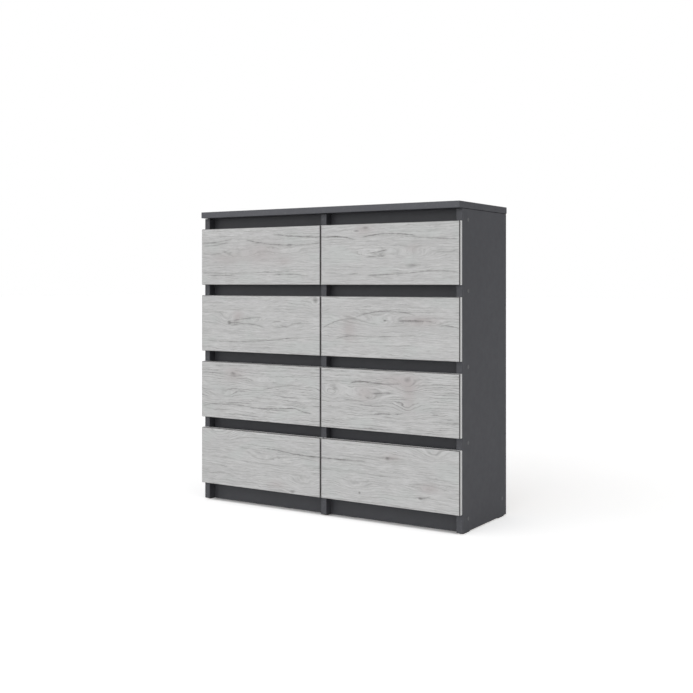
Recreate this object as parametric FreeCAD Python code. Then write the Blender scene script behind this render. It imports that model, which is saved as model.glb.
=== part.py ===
"""Chest of eight handle-less drawers in two columns of four.

Frame: millimetres, +Z up, origin on the floor under the centre of the chest.
The drawer fronts face -Y, and +X is the right-hand side seen from the front.
Depths are given from the face of the drawer fronts backwards, and heights from the
floor. The upright panels stand on thin plastic glides.
"""
import FreeCAD, Part
import math
import os

# ---- driving dimensions -------------------------------------------------------------
WIDTH = 880.0             # over the side panels
HEIGHT = 883.0            # floor to top
BOARD = 18.0              # laminated chipboard of the carcass
TOP_REVEAL = 1.5          # top panel stands this far in front of the drawer fronts
UPRIGHT_BACK = 300.0      # rear edge of the uprights
TOP_BACK = 304.0          # rear edge of the top panel, which covers the back panels
BACK_THICKNESS = 3.0      # hardboard back
BACK_BOTTOM = 12.0
BACK_INSET = 2.0          # outer edge of a back panel, inside the side panel's face
BACK_JOINT = 1.0          # slit between the two back panels, on the partition
EDGE_ROUND = 0.8          # rounding of the banded edges

ROWS = 4
FRONT_HEIGHT = 170.5
FRONT_THICKNESS = 16.0
FRONT_LOWEST = 53.0       # lower edge of the bottom drawer front
GRIP_GAP = 32.0           # open strip above each front, where the fingers go
FRONT_SIDE_INSET = 0.5    # outer edge of a front, inside the side panel's face
COLUMN_GAP = 4.0          # slit between the two columns of fronts
CLOSED_GAP = 0.5          # air between a closed front and the carcass edges

RAIL_RECESS = 41.5        # front rails and plinth, behind the face of the fronts
RAIL_HEIGHT = 60.0
PLINTH_TOP = 74.0
PLINTH_BOTTOM = 1.0       # the plinth all but reaches the floor
PLINTH_SCREW = 37.0       # height of the screw into the plinth
REAR_RAIL_DEPTH = 58.0
REAR_RAIL_MIDDLE = 53.0   # height of the flat rear rail's mid plane

SLIDE_LENGTH = 250.0      # telescopic ball-bearing slide, full extension
SLIDE_WIDTH = 12.7
SLIDE_SETBACK = 2.0       # slide behind the front edge of the uprights
SLIDE_STEEL = 1.2
SLIDE_HALF_HEIGHTS = {"cabinet": 22.7, "middle": 18.0, "drawer": 13.3}

BOX_BOARD = 16.0          # drawer box sides and back
BOX_SIDE_HEIGHT = 112.0
BOX_LIFT = 25.0           # underside of the drawer bottom above the front's lower edge
BOX_DEPTH = 250.0
BOTTOM_THICKNESS = 3.0
BOTTOM_GROOVE = 4.0       # drawer bottom enters a groove in the front this deep
GROOVE_CLEARANCE = 0.1

SCREW_SHANK = 5.0
SCREW_NECK = 7.0
SCREW_HEAD = 9.8
SCREW_LENGTH = 50.0
SCREW_NECK_LENGTH = 10.0
SCREW_HEAD_HEIGHT = 3.6
SOCKET_WIDTH = 4.2        # hexagon socket, across flats
SOCKET_DEPTH = 3.0
CAP_DIAMETER = 11.0
CAP_HEIGHT = 0.7
CAP_STEM = 3.8
CAP_STEM_LENGTH = 2.6

GLIDE_HEIGHT = 3.0
GLIDE_LENGTH = 45.0
GLIDE_WIDTH = 16.0
GLIDE_STARTS = (24.0, 245.0)   # front ends of the two glides under an upright
GLIDE_ROUND = 1.2

# ---- derived places -----------------------------------------------------------------
HALF_WIDTH = WIDTH / 2
CENTRE_DEPTH = (TOP_BACK - TOP_REVEAL) / 2
UPRIGHT_TOP = HEIGHT - BOARD
UPRIGHT_FRONT = FRONT_THICKNESS + CLOSED_GAP
PITCH = FRONT_HEIGHT + GRIP_GAP
COLUMN_INNER = BOARD / 2             # a column's clear width runs from here ...
COLUMN_OUTER = HALF_WIDTH - BOARD    # ... to here, on either side of the middle
BOX_INNER = COLUMN_INNER + SLIDE_WIDTH
BOX_OUTER = COLUMN_OUTER - SLIDE_WIDTH
SLIDE_START = UPRIGHT_FRONT + SLIDE_SETBACK
BOX_END = FRONT_THICKNESS + BOX_DEPTH
RAIL_MIDDLE = RAIL_RECESS + BOARD / 2

COLUMNS = {"left": -1, "right": 1}


def block(x, depth, height):
    """Box from three (low, high) spans: X, depth behind the fronts, height."""
    low_x, high_x = sorted(x)
    size = (high_x - low_x, depth[1] - depth[0], height[1] - height[0])
    corner = FreeCAD.Vector(low_x, depth[0] - CENTRE_DEPTH, height[0])
    return Part.makeBox(*size, corner)


def mirrored(span, side):
    """The same X span on the column's own side of the middle."""
    return (span[0] * side, span[1] * side)


def point(x, depth, height):
    """A point given as X, depth behind the fronts and height."""
    return FreeCAD.Vector(x, depth - CENTRE_DEPTH, height)


def banded(solid, radius=EDGE_ROUND):
    """A board whose edges are banded and rounded."""
    return solid.makeFillet(radius, solid.Edges)


def save(name, solids):
    """Write one sub-part, one solid or a group of separate ones."""
    shape = solids[0] if len(solids) == 1 else Part.makeCompound(solids)
    shape.exportStep("parts/" + name + ".step")


# ---- rows ---------------------------------------------------------------------------
def front_bottom(row):
    """Lower edge of a front; row 1 is the top row."""
    return FRONT_LOWEST + (ROWS - row) * PITCH


def slide_middle(row):
    """Height of the slides' centre line, half way up the drawer box."""
    return front_bottom(row) + BOX_LIFT + BOTTOM_THICKNESS + BOX_SIDE_HEIGHT / 2


def rail_spans():
    """Heights of the front rails, from the top: under the top panel, then behind each grip gap."""
    spans = [(UPRIGHT_TOP - RAIL_HEIGHT, UPRIGHT_TOP)]
    for row in range(2, ROWS + 1):
        middle = front_bottom(row) + FRONT_HEIGHT + GRIP_GAP / 2
        spans.append((middle - RAIL_HEIGHT / 2, middle + RAIL_HEIGHT / 2))
    return spans


# ---- fasteners ----------------------------------------------------------------------
def screw_places():
    """Depth and height of the screws through each side panel into the rails."""
    places = []
    for low, high in rail_spans():
        places.append((RAIL_MIDDLE, (low + high) / 2))
    places.append((RAIL_MIDDLE, PLINTH_SCREW))
    places.append((UPRIGHT_BACK - REAR_RAIL_DEPTH / 2, REAR_RAIL_MIDDLE))
    return places


def cylinder_inwards(side, depth, height, start, length, diameter):
    """Cylinder along X that starts `start` inside the side panel's face and runs inwards."""
    base = point(side * (HALF_WIDTH - start), depth, height)
    return Part.makeCylinder(diameter / 2, length, base, FreeCAD.Vector(-side, 0, 0))


def screw_body(side, depth, height):
    """Chipboard screw with a countersunk head, a plain neck and a shank."""
    head = Part.makeCone(
        SCREW_HEAD / 2, SCREW_NECK / 2, SCREW_HEAD_HEIGHT,
        point(side * HALF_WIDTH, depth, height), FreeCAD.Vector(-side, 0, 0))
    neck = cylinder_inwards(side, depth, height, SCREW_HEAD_HEIGHT, SCREW_NECK_LENGTH, SCREW_NECK)
    shank_start = SCREW_HEAD_HEIGHT + SCREW_NECK_LENGTH
    shank = cylinder_inwards(
        side, depth, height, shank_start, SCREW_LENGTH - shank_start, SCREW_SHANK)
    return head.fuse([neck, shank]).removeSplitter()


def hexagon_socket(side, depth, height):
    """The recess in a screw's head that the key fits."""
    radius = SOCKET_WIDTH / math.sqrt(3)
    corners = []
    for step in range(6):
        turn = math.radians(60 * step)
        corners.append(point(
            side * HALF_WIDTH, depth + radius * math.cos(turn), height + radius * math.sin(turn)))
    face = Part.Face(Part.makePolygon(corners + corners[:1]))
    return face.extrude(FreeCAD.Vector(-side * SOCKET_DEPTH, 0, 0))


def cap(side, depth, height):
    """Plastic cover cap: a flat disc with a softened rim and a stem in the socket."""
    disc = cylinder_inwards(side, depth, height, -CAP_HEIGHT, CAP_HEIGHT, CAP_DIAMETER)
    rim = [edge for edge in disc.Edges if abs(abs(edge.CenterOfMass.x) - HALF_WIDTH) > CAP_HEIGHT / 2
           and isinstance(edge.Curve, Part.Circle)]
    disc = disc.makeFillet(CAP_HEIGHT / 2, rim)
    stem = cylinder_inwards(side, depth, height, 0.0, CAP_STEM_LENGTH, CAP_STEM)
    return disc.fuse(stem).removeSplitter()


# ---- carcass ------------------------------------------------------------------------
def carcass():
    """Everything that stands still."""
    every_screw = []
    screws_by_side = {}
    sockets = []
    caps = []
    for side in COLUMNS.values():
        screws_by_side[side] = []
        for depth, height in screw_places():
            body = screw_body(side, depth, height)
            screws_by_side[side].append(body)
            every_screw.append(body.cut(hexagon_socket(side, depth, height)))
            caps.append(cap(side, depth, height))
    save("confirmat_screws", every_screw)
    save("screw_caps", caps)

    top = block((-HALF_WIDTH, HALF_WIDTH), (-TOP_REVEAL, TOP_BACK), (UPRIGHT_TOP, HEIGHT))
    save("top_panel", [banded(top)])

    upright_depth = (UPRIGHT_FRONT, UPRIGHT_BACK)
    upright_height = (GLIDE_HEIGHT, UPRIGHT_TOP)
    for name, side in COLUMNS.items():
        panel = block(mirrored((COLUMN_OUTER, HALF_WIDTH), side), upright_depth, upright_height)
        save("side_panel_" + name, [banded(panel).cut(screws_by_side[side])])
    partition = block((-COLUMN_INNER, COLUMN_INNER), upright_depth, upright_height)
    save("centre_partition", [banded(partition)])

    rails = []
    plinths = []
    rear_rails = []
    backs = []
    for side in COLUMNS.values():
        column = mirrored((COLUMN_INNER, COLUMN_OUTER), side)
        rail_depth = (RAIL_RECESS, RAIL_RECESS + BOARD)
        for span in rail_spans():
            rails.append(block(column, rail_depth, span).cut(screws_by_side[side]))
        plinths.append(
            block(column, rail_depth, (PLINTH_BOTTOM, PLINTH_TOP)).cut(screws_by_side[side]))
        rear_span = (REAR_RAIL_MIDDLE - BOARD / 2, REAR_RAIL_MIDDLE + BOARD / 2)
        rear_depth = (UPRIGHT_BACK - REAR_RAIL_DEPTH, UPRIGHT_BACK)
        rear_rails.append(block(column, rear_depth, rear_span).cut(screws_by_side[side]))
        back_x = mirrored((BACK_JOINT / 2, HALF_WIDTH - BACK_INSET), side)
        back_depth = (UPRIGHT_BACK, UPRIGHT_BACK + BACK_THICKNESS)
        backs.append(block(back_x, back_depth, (BACK_BOTTOM, UPRIGHT_TOP)))
    save("front_rails", rails)
    save("plinth_boards", plinths)
    save("rear_rails", rear_rails)
    save("back_panels", backs)

    glides = []
    for middle in (-(HALF_WIDTH - BOARD / 2), 0.0, HALF_WIDTH - BOARD / 2):
        for start in GLIDE_STARTS:
            glides.append(glide(middle, start))
    save("foot_glides", glides)

    slides = []
    for side in COLUMNS.values():
        for row in range(1, ROWS + 1):
            slides.extend(slide_pair("cabinet", side, row))
    save("cabinet_slides", slides)


def glide(middle, start):
    """Plastic glide strip nailed under an upright, with round ends."""
    pad = block(
        (middle - GLIDE_WIDTH / 2, middle + GLIDE_WIDTH / 2),
        (start, start + GLIDE_LENGTH), (0.0, GLIDE_HEIGHT))
    upright_edges = [edge for edge in pad.Edges if edge.BoundBox.ZLength > GLIDE_HEIGHT / 2]
    pad = pad.makeFillet(GLIDE_WIDTH / 2 - 0.5, upright_edges)
    rim = [edge for edge in pad.Edges if edge.BoundBox.ZMax < GLIDE_HEIGHT / 2]
    return pad.makeChamfer(GLIDE_ROUND, rim)


# ---- telescopic slides --------------------------------------------------------------
def channel(outer_x, lip_x, half_height, depth, middle):
    """Steel channel: a web at outer_x whose two lips reach to lip_x."""
    low, high = middle - half_height, middle + half_height
    inwards = 1 if lip_x > outer_x else -1
    hollow = (outer_x + inwards * SLIDE_STEEL, lip_x + inwards * SLIDE_STEEL)
    outside = block((outer_x, lip_x), depth, (low, high))
    inside = block(hollow, (depth[0] - 1, depth[1] + 1), (low + SLIDE_STEEL, high - SLIDE_STEEL))
    return outside.cut(inside)


def slide_pair(member, side, row):
    """One member of both slides of a drawer.

    The cabinet member's web lies on the upright, the middle member nests in it, and the
    drawer member's web lies on the drawer box.
    """
    web, lip = {
        "cabinet": (0.0, 9.0),
        "middle": (2.4, 10.6),
        "drawer": (SLIDE_WIDTH, 4.6),
    }[member]
    depth = (SLIDE_START, SLIDE_START + SLIDE_LENGTH)
    half_height = SLIDE_HALF_HEIGHTS[member]
    pair = []
    for wall, inwards in ((COLUMN_INNER, 1), (COLUMN_OUTER, -1)):
        web_x = side * (wall + inwards * web)
        lip_x = side * (wall + inwards * lip)
        pair.append(channel(web_x, lip_x, half_height, depth, slide_middle(row)))
    return pair


# ---- drawers ------------------------------------------------------------------------
def drawer(column, row):
    """One drawer: front, box sides, back, bottom and its slide members."""
    side = COLUMNS[column]
    name = "drawer_" + column + "_" + str(row)
    low = front_bottom(row)
    bottom_low = low + BOX_LIFT
    box_low = bottom_low + BOTTOM_THICKNESS
    box_span = (box_low, box_low + BOX_SIDE_HEIGHT)

    front_x = mirrored((COLUMN_GAP / 2, HALF_WIDTH - FRONT_SIDE_INSET), side)
    front = banded(block(front_x, (0.0, FRONT_THICKNESS), (low, low + FRONT_HEIGHT)))
    box_x = mirrored((BOX_INNER, BOX_OUTER), side)
    groove_x = mirrored((BOX_INNER - GROOVE_CLEARANCE, BOX_OUTER + GROOVE_CLEARANCE), side)
    groove = block(
        groove_x, (FRONT_THICKNESS - BOTTOM_GROOVE - GROOVE_CLEARANCE, FRONT_THICKNESS + 1),
        (bottom_low - GROOVE_CLEARANCE, box_low + GROOVE_CLEARANCE))
    save(name + "_front", [front.cut(groove)])

    sides = []
    for wall, inwards in ((BOX_INNER, 1), (BOX_OUTER, -1)):
        side_x = mirrored((wall, wall + inwards * BOX_BOARD), side)
        sides.append(block(side_x, (FRONT_THICKNESS, BOX_END), box_span))
    save(name + "_sides", sides)

    back_x = mirrored((BOX_INNER + BOX_BOARD, BOX_OUTER - BOX_BOARD), side)
    save(name + "_back", [block(back_x, (BOX_END - BOX_BOARD, BOX_END), box_span)])

    bottom_depth = (FRONT_THICKNESS - BOTTOM_GROOVE, BOX_END)
    save(name + "_bottom", [block(box_x, bottom_depth, (bottom_low, box_low))])

    save(name + "_slides", slide_pair("drawer", side, row))
    save(name + "_mid_slides", slide_pair("middle", side, row))


os.makedirs("parts", exist_ok=True)
carcass()
for column_name in COLUMNS:
    for row_number in range(1, ROWS + 1):
        drawer(column_name, row_number)
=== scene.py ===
"""Looks of a chest of eight handle-less drawers, built around its fixed CAD frame.

Everything is in metres, in the frame of the CAD model: +Z up, drawer fronts facing -Y.
Boards are rebuilt with rounded, banded edges and their own laminates, the slides as rolled
steel sections, and the small hardware is added. The marks of the oak print are written in
millimetres on a row of fronts, from its left end and its lower edge.
"""

import math

import bmesh
import bpy
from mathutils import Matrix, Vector


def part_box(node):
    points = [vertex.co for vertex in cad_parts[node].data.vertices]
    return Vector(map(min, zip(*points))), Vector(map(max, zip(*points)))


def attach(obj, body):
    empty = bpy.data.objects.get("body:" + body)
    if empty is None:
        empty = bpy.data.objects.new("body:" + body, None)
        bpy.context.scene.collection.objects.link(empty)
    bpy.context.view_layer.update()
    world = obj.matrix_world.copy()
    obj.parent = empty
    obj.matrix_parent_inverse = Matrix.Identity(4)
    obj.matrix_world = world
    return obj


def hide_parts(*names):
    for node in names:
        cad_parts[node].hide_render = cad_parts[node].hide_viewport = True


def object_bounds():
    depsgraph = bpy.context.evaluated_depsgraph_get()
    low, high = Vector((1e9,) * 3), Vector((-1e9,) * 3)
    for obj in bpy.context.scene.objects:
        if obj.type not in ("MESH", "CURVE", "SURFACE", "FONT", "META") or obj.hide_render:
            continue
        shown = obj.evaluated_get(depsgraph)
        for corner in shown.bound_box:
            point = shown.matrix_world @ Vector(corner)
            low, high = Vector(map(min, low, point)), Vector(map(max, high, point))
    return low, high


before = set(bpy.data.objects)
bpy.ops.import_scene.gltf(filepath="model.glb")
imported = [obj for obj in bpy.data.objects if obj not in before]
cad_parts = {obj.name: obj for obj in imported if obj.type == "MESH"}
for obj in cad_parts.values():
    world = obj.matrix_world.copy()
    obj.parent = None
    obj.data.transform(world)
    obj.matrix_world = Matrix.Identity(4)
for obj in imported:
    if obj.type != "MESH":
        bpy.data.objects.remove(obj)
cad_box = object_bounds()

MM = 0.001
PER_METRE = 1000.0             # millimetres in a metre
ROWS = (1, 2, 3, 4)
COLUMNS = ("left", "right")
EDGE_ROUND = 0.8 * MM          # rounding of banded edges
RIM_DEPTH = 5.0 * MM           # the rim behind a front's face, all round its edges, painted dark as shade
RIM_INSET = 0.5 * MM           # how far the rim lies inside the light band behind it
RIM_STEP = 0.3 * MM
JOINT_GAP = 1.2 * MM           # hairline between the uprights and the top panel
RAW_ROUND = 0.25 * MM          # softening of sawn edges
FLAT = 0.999                   # a normal this close to an axis belongs to a side of a board

STEEL = 1.2 * MM               # sheet of the slides
BEND = 1.1 * MM                # rounding of their bends
LIP = 0.7 * MM                 # how far the curled lips stop short of the CAD section
LIP_BEND = 2.2 * LIP           # where a lip begins to curl, from the same end
LIP_CURL = 0.5 * MM            # how far a lip turns out, or in where it is negative
BALL = 3.2 * MM                # diameter
BALL_GAP = 3.5 * MM            # between two members, where the balls run
CAGE_LENGTH = 92.0 * MM
CAGE_HALF_WIDTH = 2.4 * MM
CAGE_HALF_THICKNESS = 0.35 * MM
CAGE_ROUND = 0.15 * MM
CAGE_BALLS = 6
OUTER_CAGE_SIDE = 3.4 * MM     # middle of a cage, from the web of the middle member
INNER_CAGE_SIDE = 5.2 * MM
OUTER_CAGE_END = 8 * MM        # from the rear end of the middle member
INNER_CAGE_END = 5 * MM        # from its front end
SLIDE_SCREWS = (35 * MM, 128 * MM, 224 * MM)   # behind the front end of a slide

BACK_SCREW_INSET = 14 * MM     # screws of a box back, from the upper and lower edge of the side
CAM_DEPTH = 24 * MM            # cam fittings, behind the front end of a box side
CAM_INSET = 32 * MM            # and from its upper and lower edge
BOTTOM_NAILS = 4               # nails of a drawer bottom, in each side and in the box back
NAIL_IN_SIDE = 8 * MM          # from the outside of a box side
NAIL_BEHIND_FRONT = 25 * MM    # first nail of a side, from its front end
NAIL_BEFORE_BACK = 12 * MM     # last nail of a side, from the middle of the box back
NAIL_BESIDE_SIDE = 30 * MM     # end nails of the box back, from the sides
SHEET_NAILS = 8                # nails of a back sheet, along each upright
SHEET_NAIL_EDGE = 5 * MM       # from the sheet's side
SHEET_NAIL_END = 30 * MM       # from its upper and lower edge
RAIL_NAILS = 3                 # nails of a back sheet, in its rear rail
RAIL_NAIL_END = 80 * MM        # from the sheet's sides

# Fastener heads: radius and height of each ring, from the rim of the base to the middle of the
# top. A third value below 1 pulls in three of every four points, which presses a cross.
NAIL_HEAD = ((1.6 * MM, -0.3 * MM), (1.6 * MM, 0.25 * MM), (1.2 * MM, 0.45 * MM), (0.4 * MM, 0.5 * MM))
PAN_HEAD = ((3.6 * MM, 0.0), (3.7 * MM, 0.9 * MM), (3.0 * MM, 1.7 * MM), (2.1 * MM, 1.95 * MM),
            (1.9 * MM, 1.9 * MM, 0.35), (1.3 * MM, 1.0 * MM, 0.35))
FLAT_HEAD = ((3.9 * MM, -0.3 * MM), (3.9 * MM, 0.1 * MM), (3.6 * MM, 0.25 * MM), (2.2 * MM, 0.3 * MM),
             (2.0 * MM, 0.25 * MM, 0.35), (1.4 * MM, 0.02 * MM, 0.35))
CAM_FACE = ((7.4 * MM, -0.3 * MM), (7.4 * MM, 0.3 * MM), (7.0 * MM, 0.6 * MM), (5.6 * MM, 0.6 * MM),
            (5.2 * MM, 0.35 * MM), (3.4 * MM, 0.35 * MM), (3.2 * MM, 0.3 * MM, 0.3),
            (2.6 * MM, 0.04 * MM, 0.3))

# ---- studio: places in metres, strengths as Blender takes them ----
ALL_ROUND_LIGHT = 0.36         # strength of the light from every side
FRONT_LIGHT = 1.35             # more of it straight from the front
LAMP_PLACE = (-0.6, -4.0, 2.6)
LAMP_AIM = (0.0, 0.0, 0.5)
LAMP_SIZE = (3.0, 2.0)
LAMP_POWER = 8.0
FLOOR_REACH = 40.0             # from the middle of the floor to its sides
FLOOR_GLOW = 0.47              # the floor shows white, but lights the chest no more than paper does
GLOW_START = 0.03              # the glow begins this far inside the outline of the chest
GLOW_FULL = 0.01               # and is full this far inside it
CAMERA_PLACE = (1.66804, -2.64278, 0.66576)
CAMERA_TURN = math.radians(32.385)
CAMERA_SENSOR = 36.0           # width in millimetres
CAMERA_LENS = 54.59
CAMERA_SHIFT = -0.0915
WHITE_LIGHT = (1.0, 1.0, 1.0, 1.0)

# ---- marks of the oak print, in millimetres along a row and above its fronts' lower edge ----
# Dark grain lines: three points that the line passes, and how dark it is.
GRAIN_LINES = {
    1: (((4, 128), (50, 129), (120, 138), 0.8), ((12, 118), (60, 121), (105, 130), 0.6),
        ((270, 148), (380, 139), (500, 136), 1.0), ((480, 137), (520, 134), (556, 126), 0.8),
        ((582, 134), (660, 141), (745, 134), 1.0), ((700, 134), (790, 127), (876, 122), 0.6),
        ((175, 134), (250, 121), (340, 116), 0.8), ((320, 117), (380, 116), (440, 121), 0.6),
        ((5, 96), (60, 94), (110, 106), 0.4), ((5, 36), (150, 35), (330, 40), 0.5),
        ((20, 28), (80, 28), (130, 28), 0.6), ((275, 30), (340, 31), (400, 26), 0.7),
        ((595, 26), (700, 31), (790, 38), 0.7), ((780, 37), (830, 38), (878, 34), 0.7),
        ((540, 29), (555, 31), (572, 29), 0.7), ((590, 88), (625, 91), (660, 97), 0.8),
        ((592, 77), (620, 79), (652, 80), 0.7), ((800, 92), (840, 89), (875, 94), 0.4)),
    2: (((125, 95), (165, 101), (228, 106), 0.7), ((118, 80), (180, 86), (240, 76), 0.7),
        ((110, 88), (130, 89), (160, 88), 0.8), ((268, 92), (284, 95), (300, 95), 0.8),
        ((298, 84), (308, 82), (320, 79), 0.8), ((25, 33), (180, 34), (330, 47), 0.6),
        ((300, 45), (370, 50), (436, 54), 0.4), ((448, 81), (500, 102), (560, 107), 0.7),
        ((555, 112), (640, 130), (745, 121), 0.7), ((690, 103), (740, 106), (800, 104), 0.8),
        ((822, 93), (850, 94), (878, 88), 0.9), ((520, 62), (620, 60), (745, 67), 0.5),
        ((490, 50), (515, 56), (545, 58), 0.5), ((10, 122), (50, 122), (100, 118), 0.4)),
    3: (((8, 138), (60, 137), (110, 138), 0.5), ((230, 93), (300, 108), (380, 113), 0.5),
        ((10, 37), (90, 45), (200, 39), 0.6), ((190, 39), (290, 42), (355, 48), 0.9),
        ((350, 47), (385, 38), (412, 36), 0.7), ((448, 132), (490, 134), (530, 135), 0.5),
        ((540, 130), (568, 137), (604, 133), 0.9), ((600, 133), (650, 133), (700, 136), 0.8),
        ((590, 95), (600, 92), (612, 95), 0.8), ((610, 103), (640, 107), (680, 107), 0.7),
        ((620, 48), (645, 51), (675, 51), 1.0), ((680, 51), (700, 54), (712, 56), 0.7),
        ((797, 57), (806, 58), (820, 56), 0.8), ((790, 38), (830, 39), (878, 41), 0.6),
        ((740, 132), (800, 138), (876, 137), 0.5), ((520, 84), (560, 82), (590, 80), 0.5)),
    4: (((150, 121), (170, 120), (190, 122), 0.5), ((240, 124), (300, 122), (345, 117), 0.9),
        ((340, 117), (430, 115), (520, 116), 1.1), ((510, 116), (550, 117), (592, 118), 0.8),
        ((8, 32), (60, 36), (120, 38), 0.4), ((765, 34), (780, 37), (795, 42), 0.7),
        ((720, 66), (790, 70), (850, 60), 0.4), ((560, 84), (620, 82), (700, 80), 0.35)),
}
# Knots: middle, half length, half height and how dark the heart is.
KNOTS = {
    1: ((560, 151, 11, 4, 1.0), (590, 159, 12, 5, 0.7), (622, 84, 30, 8, 0.20), (740, 53, 26, 6, 0.7)),
    2: ((108, 89, 9, 7, 1.1), (652, 104, 6, 3.5, 1.2), (422, 158, 10, 12, 0.7), (742, 104, 32, 4, 0.5)),
    3: ((122, 138, 13, 5, 0.75), (490, 112, 11, 6, 0.55), (722, 148, 12, 8, 0.55), (600, 96, 16, 9, 0.25)),
    4: ((342, 8, 11, 5, 0.8), (570, 29, 5, 4, 1.0), (762, 33, 9, 4, 0.9), (660, 133, 8, 4, 0.8)),
}
# Warm clouds of the print: middle, half length, half height, strength.
BLUSHES = {
    1: ((100, 84, 55, 18, 0.7), (225, 92, 65, 30, 0.8), (313, 70, 22, 12, 0.7), (585, 155, 26, 16, 0.9),
        (740, 100, 20, 12, 0.6)),
    2: ((140, 108, 18, 16, 0.9), (535, 80, 22, 32, 0.9), (765, 106, 48, 12, 1.0)),
    3: ((125, 138, 38, 20, 0.9), (590, 104, 30, 24, 0.8), (690, 142, 62, 22, 0.9), (728, 112, 20, 44, 0.8)),
    4: ((285, 22, 28, 10, 0.7), (788, 62, 28, 12, 0.9), (675, 134, 28, 10, 0.8)),
}
# Eyes where the grain closes into rings: middle, half length, half height, how far it is lifted.
EYES = {
    1: ((150, 84, 85, 15, 17), (612, 84, 62, 9, 10), (742, 76, 70, 17, 22), (330, 92, 60, 12, 12)),
    2: ((175, 92, 60, 9, 14), (640, 96, 120, 22, 26), (300, 78, 70, 10, 13), (100, 100, 30, 16, 20)),
    3: ((585, 96, 64, 15, 22), (468, 96, 34, 20, 22), (722, 124, 44, 20, 14), (250, 118, 90, 10, 13),
        (85, 70, 60, 12, 14), (722, 66, 40, 18, 20)),
    4: ((66, 158, 60, 26, 30), (800, 150, 52, 22, 24), (372, 34, 56, 20, 20), (800, 56, 55, 9, 14),
        (560, 44, 50, 14, 18), (230, 90, 90, 14, 16)),
}
# How strongly the growth rings show in each row.
RING_DEPTH = {1: 0.30, 2: 0.32, 3: 0.60, 4: 0.36}
RING_SPACING = 6.8             # mean distance of the growth rings
WANDER = 12.0                  # height of the slow drift of the grain, up and down
TREMBLE = 3.0                  # height of the quick drift of the written marks
RIPPLE = 6.0                   # and of the grain between them
LINE_WEIGHT = 1.2              # darkness of the written lines against that of the knots


# ---- shader graphs ------------------------------------------------------------------
class Graph:
    """A material or a node group under construction."""

    def __init__(self, tree):
        self.tree = tree

    def node(self, kind, inputs=None, **settings):
        made = self.tree.nodes.new("ShaderNode" + kind)
        for key, value in settings.items():
            setattr(made, key, value)
        for key, value in (inputs or {}).items():
            self.put(made.inputs[key], value)
        return made

    def put(self, socket, value):
        """Link a socket, or set a constant."""
        if isinstance(value, bpy.types.NodeSocket):
            self.tree.links.new(value, socket)
        else:
            socket.default_value = value

    def math(self, operation, *values, clamp=False):
        made = self.node("Math", operation=operation, use_clamp=clamp)
        for index, value in enumerate(values):
            self.put(made.inputs[index], value)
        return made.outputs[0]

    def times(self, first, second):
        return self.math("MULTIPLY", first, second)

    def minus(self, first, second):
        return self.math("SUBTRACT", first, second)

    def square(self, value):
        return self.math("POWER", self.math("ABSOLUTE", value), 2.0)

    def total(self, values):
        result = values[0]
        for value in values[1:]:
            result = self.math("ADD", result, value)
        return result

    def span(self, value, low, high, to_low=0.0, to_high=1.0):
        """Ease a value from one range into another, held at both ends."""
        made = self.node("MapRange", {
            "Value": value, "From Min": low, "From Max": high, "To Min": to_low, "To Max": to_high})
        made.interpolation_type = "SMOOTHSTEP"
        return made.outputs["Result"]

    def noise(self, vector, scale, detail=3.0, roughness=0.55, distortion=0.0):
        made = self.node("TexNoise", {
            "Vector": vector, "Scale": scale, "Detail": detail,
            "Roughness": roughness, "Distortion": distortion})
        return made.outputs["Fac"]

    def vector(self, x, y, z):
        return self.node("CombineXYZ", {"X": x, "Y": y, "Z": z}).outputs[0]

    def drift(self, along, up, cells, seed, detail):
        """Soft noise over a face, with so many cells per unit along it and up it."""
        spot = self.vector(self.times(along, cells[0]), self.times(up, cells[1]), seed)
        return self.noise(spot, 1.0, detail)

    def stretch(self, vector, scale):
        return self.node("Mapping", {"Vector": vector, "Scale": scale}).outputs[0]

    def mix(self, factor, first, second):
        """Mix two colours; a colour is a socket or three numbers."""
        made = self.node("Mix", data_type="RGBA")
        self.put(made.inputs["Factor"], factor)
        for name, value in (("A", first), ("B", second)):
            socket = [s for s in made.inputs if s.name == name and s.type == "RGBA"][0]
            self.put(socket, value if isinstance(value, bpy.types.NodeSocket) else (*value, 1.0))
        return [s for s in made.outputs if s.type == "RGBA"][0]

    def bump(self, height, distance, strength=1.0):
        made = self.node("Bump", {"Height": height, "Distance": distance, "Strength": strength})
        return made.outputs[0]


def new_material(name):
    """An empty material, its graph and the object's own coordinates in metres."""
    material = bpy.data.materials.new(name)
    material.use_nodes = True
    material.node_tree.nodes.clear()
    graph = Graph(material.node_tree)
    place = graph.node("TexCoord").outputs["Object"]
    return material, graph, place


def finish_material(material, graph, color, roughness, normal, metallic=0.0, specular=0.5):
    """Add the shader and the output of a material."""
    shader = graph.node("BsdfPrincipled", {"Base Color": color, "Roughness": roughness, "Normal": normal})
    shader.inputs["Metallic"].default_value = metallic
    shader.inputs["Specular IOR Level"].default_value = specular
    output = graph.node("OutputMaterial")
    graph.tree.links.new(shader.outputs[0], output.inputs["Surface"])
    return material


def new_group(name, inputs, outputs):
    """A node group with float inputs and outputs; returns the group, its graph and sockets."""
    group = bpy.data.node_groups.new(name, "ShaderNodeTree")
    for label in inputs:
        group.interface.new_socket(label, in_out="INPUT", socket_type="NodeSocketFloat")
    for label in outputs:
        group.interface.new_socket(label, in_out="OUTPUT", socket_type="NodeSocketFloat")
    graph = Graph(group)
    entry = group.nodes.new("NodeGroupInput")
    leave = group.nodes.new("NodeGroupOutput")
    return group, graph, entry.outputs, leave.inputs


def oval(graph, given):
    """Place relative to an oval: how far up in half heights, and the squared distance."""
    across = graph.math("DIVIDE", graph.minus(given["X"], given["Middle X"]), given["Half length"])
    up = graph.math("DIVIDE", graph.minus(given["Z"], given["Middle Z"]), given["Half height"])
    return up, graph.math("ADD", graph.square(across), graph.square(up))


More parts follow.
